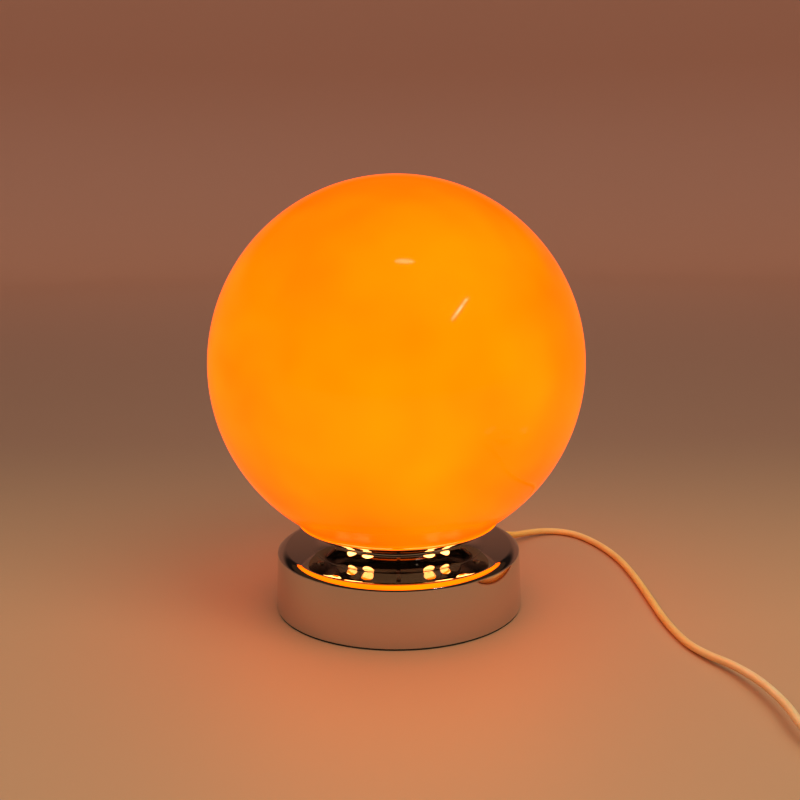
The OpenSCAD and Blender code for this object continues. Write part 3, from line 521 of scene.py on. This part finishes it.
def dressed(material, *names):
    """Gives a finish to pieces whose shape stays as it is."""
    for name in names:
        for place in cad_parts[name].material_slots:
            place.material = material


dressed(metal_for("spring_steel", (0.62, 0.63, 0.65), 0.3, 900, (1, 1, 0.08)), "globe_springs")
zinc_steel = metal_for("zinc_steel", (0.66, 0.67, 0.69), 0.36, 350)
dressed(zinc_steel, "spring_rivets", "bottom_screws", "plate_brackets", "bottom_plate", "clamp_screws",
    "tube_nuts", "tube_washers", "switch_pin", "switch_screws")

# Felt and ballast. A felt disc is glued under the zinc-plated bottom plate, which carries a round
# block of rough cast iron that keeps the ball from tipping the lamp over.
felt_outline = [(0, 0.0002)] + arc((0.0574, 0.0008), 0.0006, -90, 30, 6)
felt_outline += [(0.0576, 0.0013), (0, 0.0013)]
felt_disc = turned("felt_disc", felt_outline, 96, 50)
felt, nodes, links, shader = finish_for("felt", (0.07, 0.07, 0.08), 0.95)
shader.inputs["Sheen Weight"].default_value = 0.6
ramp(nodes, links, cloud(nodes, links, 1400, 6),
    [(0.3, (0.03, 0.03, 0.036)), (0.7, (0.12, 0.12, 0.13))], shader.inputs["Base Color"])
relief(nodes, links, cloud(nodes, links, 1100, 5), 0.0005, shader)
felt_disc.data.materials.append(felt)
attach(felt_disc, "base")
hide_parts("felt_pad")

iron, nodes, links, shader = finish_for("cast_iron", (0.16, 0.16, 0.17), 0.75, 0.6)
ramp(nodes, links, cloud(nodes, links, 120, 5), [(0.3, (0.09, 0.085, 0.08)), (0.7, (0.2, 0.2, 0.21))],
    shader.inputs["Base Color"])
relief(nodes, links, cloud(nodes, links, 450, 5), 0.0006, shader)
dressed(iron, "ballast")

# Tube and lampholder. A threaded brass tube clamps drum, neck, gallery and lampholder together and
# takes the two cores up. The holder is moulded in white plastic: a domed cap and a screwed-on sleeve
# round a porcelain insert, which carries the threaded shell and the terminals.
brass = metal_for("brass", (0.8, 0.6, 0.27), 0.24, 260)
dressed(brass, "threaded_tube", "holder_shell", "holder_contact", "holder_terminals",
    "switch_contacts")


def plastic_for(name, colour, roughness, grain=1500, depth=0.00004):
    """A moulded plastic with a fine even grain."""
    material, nodes, links, shader = finish_for(name, colour, roughness)
    shade = tuple(0.93 * c for c in colour)
    ramp(nodes, links, cloud(nodes, links, 45), [(0.35, shade), (0.65, colour)],
        shader.inputs["Base Color"])
    uneven(nodes, links, cloud(nodes, links, 300), roughness * 0.85, roughness * 1.2,
        shader.inputs["Roughness"])
    relief(nodes, links, cloud(nodes, links, grain, 2), depth, shader)
    return material


holder_plastic = plastic_for("holder_plastic", (0.8, 0.79, 0.75), 0.42)
cap_outline = [(tube_hole, 0.0629)] + arc((0.012, 0.0709), 0.008, -90, 0, 16)
cap_outline += [(0.02, 0.0766), (0.0197, 0.0769), (0.018, 0.0769)]
cap_outline += arc((0.012, 0.0709), 0.006, 0, -90, 14)
cap_outline += [(0.008, 0.0649), (0.008, 0.0687), (0.0078, 0.0689), (tube_hole, 0.0689)]
sleeve_outline = [(0.018, 0.0769), (0.0197, 0.0769), (0.02, 0.0772)]
for groove in (0.081, 0.083, 0.107, 0.109):
    sleeve_outline += [(0.02, groove - 0.0004), (0.0197, groove - 0.0002), (0.0197, groove + 0.0002),
        (0.02, groove + 0.0004)]
sleeve_outline += arc((0.0193, 0.1122), 0.0007, 0, 90, 5) + arc((0.0187, 0.1122), 0.0007, 90, 180, 5)
for name, outline, node in (("holder_dome", cap_outline, "holder_cap"),
        ("holder_sleeve", sleeve_outline, "holder_body")):
    piece = turned(name, outline, 128, 40)
    piece.data.materials.append(holder_plastic)
    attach(piece, "base")
    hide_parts(node)
porcelain, nodes, links, shader = finish_for("porcelain", (0.86, 0.85, 0.81), 0.35)
ramp(nodes, links, cloud(nodes, links, 150, 4), [(0.3, (0.8, 0.78, 0.73)), (0.7, (0.88, 0.87, 0.83))],
    shader.inputs["Base Color"])
relief(nodes, links, cloud(nodes, links, 600, 3), 0.0001, shader)
dressed(porcelain, "holder_insert")

# Lead inside. The sheath ends under a saddle on the ballast, and a brown and a blue core run on
# from it, up the tube to the terminals.
dressed(sheath, "lead_inside")
dressed(plastic_for("brown_insulation", (0.2, 0.08, 0.035), 0.3, 700), "core_brown")
dressed(plastic_for("blue_insulation", (0.04, 0.16, 0.45), 0.3, 700), "core_blue")
dressed(holder_plastic, "cord_clamp")

# Bulb. A screw-in bulb with a rolled metal cap, a black glass insulator round its solder contact, a
# white collar that takes the heat, and a frosted plastic dome over a plate of small light chips.
def threaded(piece, low, high, radius, depth, pitch):
    """Rolls a round right-handed thread into the outer rows of a turned piece."""
    for corner in piece.data.vertices:
        reach = corner.co.xy.length
        if reach > radius - depth and low < corner.co.z < high:
            fade = min(1, (corner.co.z - low) / pitch, (high - corner.co.z) / pitch)
            turn = 2 * math.pi * corner.co.z / pitch - math.atan2(corner.co.y, corner.co.x)
            corner.co.xy *= (radius - depth * fade * (0.5 - 0.5 * math.cos(turn))) / reach


cap_metal = metal_for("cap_metal", (0.78, 0.78, 0.79), 0.22, 240)
cap_radius = 0.01315
screw_outline = [(0, 0.0925), (0.0095, 0.0925), (0.0101, 0.0927), (0.0127, 0.0945)]
screw_outline += [(cap_radius, 0.0949 + 0.0003 * k) for k in range(48)] + [(cap_radius, 0.1102)]
screw_outline += [(0.0129, 0.1106), (cap_radius, 0.111), (cap_radius, 0.1125), (0.0121, 0.1125)]
screw_outline += [(0.0119, 0.0951), (0.0096, 0.0932), (0, 0.0932)]
bulb_screw = turned("bulb_screw", screw_outline, 128, 60)
threaded(bulb_screw, 0.0949, 0.1095, cap_radius, 0.0009, 0.00363)
bulb_screw.data.materials.append(cap_metal)
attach(bulb_screw, "bulb")
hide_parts("bulb_cap")

contact_outline = [(0, 0.0885), (0.0025, 0.0885)] + arc((0.0036, 0.0896), 0.0012, -80, 0, 6)
contact_outline += [(0.0048, 0.0899), (0, 0.0899)]
foot_contact = turned("foot_contact", contact_outline, 64, 50)
foot_contact.data.materials.append(metal_for("solder", (0.7, 0.7, 0.71), 0.3, 400))
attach(foot_contact, "bulb_foot")
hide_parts("bulb_contact")
insulator_outline = [(0, 0.0899), (0.0052, 0.0899), (0.0056, 0.09), (0.0093, 0.0919),
    (0.0094, 0.0922), (0.0092, 0.0923), (0, 0.0923)]
foot_glass = turned("foot_glass", insulator_outline, 64, 40)
foot_glass.data.materials.append(plastic_for("black_glass", (0.012, 0.011, 0.015), 0.12, 200))
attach(foot_glass, "bulb_foot")
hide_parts("bulb_insulator")

white_plastic = plastic_for("white_plastic", (0.82, 0.81, 0.77), 0.34)
collar_outline = [(0, 0.1125), (0.0132, 0.1125)] + arc((0.0133, 0.1145), 0.002, -88, -5, 6)
collar_outline += [(0.0158, 0.118), (0.0166, 0.1225), (0.0183, 0.1275), (0.0211, 0.1328),
    (0.0239, 0.1375), (0.0256, 0.1408), (0.0267, 0.1437), (0.02704, 0.1465), (0.02704, 0.1482),
    (0.0268, 0.1485), (0.0255, 0.1485), (0.0254, 0.1455), (0.015, 0.1225), (0.0136, 0.1141),
    (0, 0.1141)]
bulb_skirt = turned("bulb_skirt", collar_outline, 128, 40)
bulb_skirt.data.materials.append(white_plastic)
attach(bulb_skirt, "bulb")
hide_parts("bulb_collar")
diffuser, nodes, links, shader = finish_for("lit_diffuser", (0.86, 0.82, 0.72), 0.5)
shader.inputs["Emission Strength"].default_value = 3
ramp(nodes, links, cloud(nodes, links, 30, 2), [(0.35, (1.0, 0.7, 0.34)), (0.65, (1.0, 0.76, 0.42))],
    shader.inputs["Emission Color"])
dome_middle = (0, 0.1615)
dome_outline = arc(dome_middle, 0.03, -25.6, 90, 40) + arc(dome_middle, 0.0288, 90, -26.7, 40)
bulb_cover = turned("bulb_cover", dome_outline, 128, 50)
bulb_cover.data.materials.append(diffuser)
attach(bulb_cover, "bulb")
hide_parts("bulb_dome")
board, nodes, links, shader = finish_for("led_board", (0.85, 0.85, 0.8), 0.4)
board_face = 0.14765
chip = nodes.new("ShaderNodeMath")
chip.operation = "GREATER_THAN"
chip.inputs[1].default_value = board_face
links.new(parted(nodes, links).outputs["Z"], chip.inputs[0])
ramp(nodes, links, chip.outputs["Value"], [(0.0, (0.84, 0.84, 0.8)), (1.0, (0.85, 0.55, 0.08))],
    shader.inputs["Base Color"])
dressed(board, "led_plate")

# Strain relief. A soft white sleeve, pushed into the hole in the drum from outside. Its collar
# stands on the wall, and the rings of its tail let the lead bend without a kink.
relief_outline = [(0.00255, 0.0789), (0.0053, 0.0789), (0.006, 0.0818), (0.0047, 0.0819),
    (0.0047, 0.085), (0.0063, 0.085), (0.0065, 0.0852), (0.0065, 0.087), (0.0061, 0.0875),
    (0.005, 0.088)]
for ring in range(8):
    start = 0.089 + 0.0031 * ring
    out = 0.0049 - 0.00017 * ring
    relief_outline += [(out, start), (out - 0.0001, start + 0.0018), (out - 0.0006, start + 0.0021),
        (out - 0.0007, start + 0.0028)]
relief_outline += [(0.0035, 0.1142), (0.0032, 0.115), (0.00255, 0.115)]
tail_sleeve = turned("tail_sleeve", relief_outline, 48, 40)


def moved(piece, matrix):
    """Puts a finished piece in its place and leaves its origin at the lamp's."""
    bpy.ops.object.select_all(action="DESELECT")
    piece.select_set(True)
    bpy.context.view_layer.objects.active = piece
    piece.matrix_world = matrix
    bpy.ops.object.transform_apply(location=True, rotation=True, scale=True)


outlet = Vector((0.6, 0.8, 0)).to_track_quat("Z", "Y").to_matrix().to_4x4()
moved(tail_sleeve, Matrix.Translation((0, 0, 0.014)) @ outlet)
tail_sleeve.data.materials.append(white_plastic)
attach(tail_sleeve, "base")
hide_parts("strain_relief")

# Switch. An inline switch of 60 mm in two moulded shells, screwed together from below round the
# lead. A rocker tilts on a steel pin in a slot in the upper shell.
switch_place = Vector((0.266, -0.23, 0))
switch_half = 0.016
switch_side = 0.012
seam_under = 0.00792
seam_over = 0.00808
touch = 0.00001


def pressed(name, outline, low, high):
    """A solid of one (x, y) outline from one height to another."""
    bpy.ops.object.select_all(action="DESELECT")
    bpy.ops.mesh.primitive_circle_add(vertices=len(outline), radius=0.1, fill_type="NGON")
    piece = bpy.context.object
    piece.name = name
    for corner, (x, y) in zip(piece.data.vertices, outline):
        corner.co = (x, y, low)
    bpy.ops.object.mode_set(mode="EDIT")
    bpy.ops.mesh.select_all(action="SELECT")
    bpy.ops.mesh.extrude_region_move(TRANSFORM_OT_translate={"value": (0, 0, high - low)})
    bpy.ops.mesh.select_all(action="SELECT")
    bpy.ops.mesh.normals_make_consistent(inside=False)
    bpy.ops.object.mode_set(mode="OBJECT")
    return piece


def softened(piece, width, chosen, crease=35):
    """Rounds the edges for which chosen, given both ends, is true."""
    bpy.ops.object.select_all(action="DESELECT")
    piece.select_set(True)
    bpy.context.view_layer.objects.active = piece
    bpy.ops.object.mode_set(mode="EDIT")
    bpy.ops.mesh.select_mode(type="EDGE")
    bpy.ops.mesh.select_all(action="DESELECT")
    bpy.ops.object.mode_set(mode="OBJECT")
    for edge in piece.data.edges:
        edge.select = chosen(*[piece.data.vertices[v].co for v in edge.vertices])
    bpy.ops.object.mode_set(mode="EDIT")
    bpy.ops.mesh.bevel(offset=width, offset_type="OFFSET", segments=4, profile=0.5, affect="EDGES")
    bpy.ops.object.mode_set(mode="OBJECT")
    bpy.ops.object.shade_smooth_by_angle(angle=math.radians(crease))


def hollowed(piece, face_at, wall, deep):
    """Sinks a hollow into the flat face at that height, inside a wall."""
    bpy.ops.object.select_all(action="DESELECT")
    bpy.context.view_layer.objects.active = piece
    bpy.ops.object.mode_set(mode="EDIT")
    bpy.ops.mesh.select_mode(type="FACE")
    bpy.ops.mesh.select_all(action="DESELECT")
    bpy.ops.object.mode_set(mode="OBJECT")
    for face in piece.data.polygons:
        face.select = abs(face.center.z - face_at) < touch and len(face.vertices) > 20
    bpy.ops.object.mode_set(mode="EDIT")
    bpy.ops.mesh.inset(thickness=wall)
    bpy.ops.mesh.extrude_region_move(TRANSFORM_OT_translate={"value": (0, 0, deep)})
    bpy.ops.object.mode_set(mode="OBJECT")


def cut_by(piece, tool, operation="DIFFERENCE"):
    """Cuts a tool's shape out of a piece, or adds it, and clears the tool away."""
    bpy.ops.object.select_all(action="DESELECT")
    bpy.context.view_layer.objects.active = piece
    work = piece.modifiers.new("cut", "BOOLEAN")
    work.operation = operation
    work.object = tool
    work.solver = "EXACT"
    bpy.ops.object.modifier_apply(modifier="cut")
    bpy.data.objects.remove(tool)


def cord_entry(name, side, low, high):
    """One half of the ribbed sleeve where the lead enters the switch."""
    outline = [(0, 0), (0.0042, 0)]
    for rib in range(4):
        outline += [(0.0045, 0.0004 + 0.0022 * rib), (0.0045, 0.0014 + 0.0022 * rib),
            (0.0041, 0.0017 + 0.0022 * rib), (0.0041, 0.0023 + 0.0022 * rib)]
    outline += [(0.0045, 0.0096), (0.0042, 0.01), (0, 0.01)]
    entry = turned(name, outline, 40, 40)
    across = Matrix.Rotation(math.radians(90 * side), 4, "Y")
    moved(entry, Matrix.Translation((0.02 * side, 0, 0.008)) @ across)
    bpy.ops.object.mode_set(mode="EDIT")
    bpy.ops.mesh.select_all(action="SELECT")
    bpy.ops.mesh.bisect(plane_co=(0, 0, low), plane_no=(0, 0, 1), use_fill=True, clear_inner=True)
    bpy.ops.mesh.select_all(action="SELECT")
    bpy.ops.mesh.bisect(plane_co=(0, 0, high), plane_no=(0, 0, 1), use_fill=True, clear_outer=True)
    bpy.ops.object.mode_set(mode="OBJECT")
    return entry


shell_outline = []
for step in range(25):
    turn = math.radians(-90 + 7.5 * step)
    shell_outline.append((switch_half + switch_side * math.cos(turn), switch_side * math.sin(turn)))
shell_outline += [(-x, -y) for x, y in shell_outline]
for name, low, high, inner, deep, node in (
        ("shell_lower", 0.0002, seam_under, seam_under, -0.0059, "switch_lower"),
        ("shell_upper", seam_over, 0.0155, seam_over, 0.0056, "switch_upper")):
    shell = pressed(name, shell_outline, low, high)
    outer = low if inner == high else high
    softened(shell, 0.0012 if inner == high else 0.003,
        lambda a, b: abs(a.z - outer) < touch and abs(b.z - outer) < touch)
    softened(shell, 0.00025, lambda a, b: abs(a.z - inner) < touch and abs(b.z - inner) < touch)
    hollowed(shell, inner, 0.0016, deep)
    for side in (-1, 1):
        cut_by(shell, cord_entry("entry", side, low, high), "UNION")
    if node == "switch_upper":
        slot = pressed("slot", [(-0.0103, -0.005), (0.0103, -0.005), (0.0103, 0.005), (-0.0103, 0.005)],
            0.007, 0.017)
        cut_by(shell, slot)
    bpy.context.view_layer.objects.active = shell
    shell.select_set(True)
    bpy.ops.object.shade_smooth_by_angle(angle=math.radians(35))
    moved(shell, Matrix.Translation(switch_place))
    shell.data.materials.clear()
    shell.data.materials.append(white_plastic)
    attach(shell, "base")
    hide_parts(node)

rocker_outline = [(0.0095 * k / 8, 0.0022 + 0.001 * (k / 8) ** 2) for k in range(8, -9, -1)]
rocker_outline += [(-0.008, -0.001), (-0.0024, -0.0026), (0.0024, -0.0026), (0.008, -0.001)]
rocker_cap = pressed("rocker_cap", rocker_outline, -0.0047, 0.0047)
softened(rocker_cap, 0.0005, lambda a, b: abs(a.z - b.z) < touch and min(a.y, b.y) > 0.002)
for rib in (-0.0078, -0.0066, -0.0054, 0.0054, 0.0066, 0.0078):
    crown = 0.0024 + 0.001 * (rib / 0.0095) ** 2
    drilled(rocker_cap, 0.0003, (rib, crown, -0.006), (rib, crown, 0.006))
bpy.context.view_layer.objects.active = rocker_cap
rocker_cap.select_set(True)
bpy.ops.object.shade_smooth_by_angle(angle=math.radians(35))
tilt = Matrix.Rotation(math.radians(10), 4, "Y") @ Matrix.Rotation(math.radians(90), 4, "X")
moved(rocker_cap, Matrix.Translation(switch_place + Vector((0, 0, 0.012))) @ tilt)
rocker_cap.data.materials.clear()
rocker_cap.data.materials.append(plastic_for("rocker_plastic", (0.74, 0.73, 0.69), 0.28))
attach(rocker_cap, "rocker")
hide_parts("switch_rocker")

# Coil tie. A flat strap of black plastic, wrapped once round the six turns of the spare lead, with
# its end tucked back over itself.
strap_outline = []
for middle, start in (((0.0371, 0.0094), 0), ((0.0209, 0.0094), 90), ((0.0209, 0.004), 180),
        ((0.0371, 0.004), 270)):
    strap_outline += arc(middle, 0.0035, start, start + 90, 6)
strap = pressed("coil_strap", strap_outline, -0.004, 0.004)
strap_across, strap_up = 0.029, 0.0067
strap_core = pressed("strap_core", [(strap_across + (x - strap_across) * 0.94,
    strap_up + (y - strap_up) * 0.88) for x, y in strap_outline], -0.006, 0.006)
cut_by(strap, strap_core)
softened(strap, 0.0002, lambda a, b: abs(a.z - b.z) < touch)
strap_end = pressed("strap_end", [(0.023, 0.01285), (0.0365, 0.01285), (0.0365, 0.0135),
    (0.0235, 0.0135), (0.023, 0.0133)], -0.0037, 0.0037)
softened(strap_end, 0.0002, lambda a, b: abs(a.z - b.z) < touch)
strap.select_set(True)
bpy.context.view_layer.objects.active = strap
bpy.ops.object.join()
upright = Matrix.Rotation(math.radians(150), 4, "Z") @ Matrix.Rotation(math.radians(90), 4, "X")
moved(strap, Matrix.Translation((coil_middle.x, coil_middle.y, 0)) @ upright)
strap.data.materials.clear()
strap.data.materials.append(plastic_for("black_plastic", (0.035, 0.035, 0.04), 0.5, 900, 0.0001))
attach(strap, "base")
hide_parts("coil_tie")

# Plug. A flat two-pin plug, moulded in white plastic onto the lead, with finger grooves on both
# faces and two round nickel-plated pins, whose roots are sleeved.
plug_side = [(0.005, 0.008), (0.0137, 0.022), (0.0176, 0.026), (0.0176, 0.036)]
plug_outline = plug_side + [(-x, y) for x, y in reversed(plug_side)]
plug_half = 0.00685
plug_waist = 0.013
plug = pressed("plug_grip", plug_outline, -plug_half, plug_half)
softened(plug, 0.002, lambda a, b: abs(a.x - b.x) < touch and abs(a.y - b.y) < touch
    and 0.02 < a.y < 0.0355)
bpy.ops.object.mode_set(mode="EDIT")
bpy.ops.mesh.select_all(action="SELECT")
bpy.ops.mesh.bisect(plane_co=(0, plug_waist, 0), plane_no=(0, 1, 0))
bpy.ops.object.mode_set(mode="OBJECT")
for corner in plug.data.vertices:
    corner.co.z *= (0.00485 + 0.002 * min(corner.co.y / plug_waist, 1)) / plug_half
softened(plug, 0.0016, lambda a, b: a.z * b.z > 0 and min(abs(a.z), abs(b.z)) > 0.0055
    and (abs(a.y - b.y) > touch or abs(a.y - 0.036) < touch))
for groove in range(5):
    along = 0.015 + 0.003 * groove
    for face in (-1, 1):
        drilled(plug, 0.0007, (-0.02, along, 0.0072 * face), (0.02, along, 0.0072 * face))
neck_rings = [(0.0026, 0), (0.0032, 0)]
for ring in range(5):
    out = 0.0032 + 0.0002 * ring
    start = 0.0019 * ring
    neck_rings += [(out + 0.0003, start + 0.0002), (out + 0.0004, start + 0.0012),
        (out, start + 0.0014), (out, start + 0.0019)]
neck_rings += [(0.0044, 0.0098), (0.0026, 0.0098)]
plug_neck = turned("plug_neck", neck_rings, 40, 40)
moved(plug_neck, Matrix.Rotation(math.radians(-90), 4, "X"))
plug.select_set(True)
bpy.context.view_layer.objects.active = plug
bpy.ops.object.join()
bpy.ops.object.shade_smooth_by_angle(angle=math.radians(35))
moved(plug, Matrix.Translation(lead_tail[-1]))
plug.data.materials.clear()
plug.data.materials.append(white_plastic)
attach(plug, "base")
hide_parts("plug_body")
dressed(metal_for("nickel_pins", (0.72, 0.71, 0.68), 0.2, 300), "plug_pins")
dressed(white_plastic, "pin_sleeves")
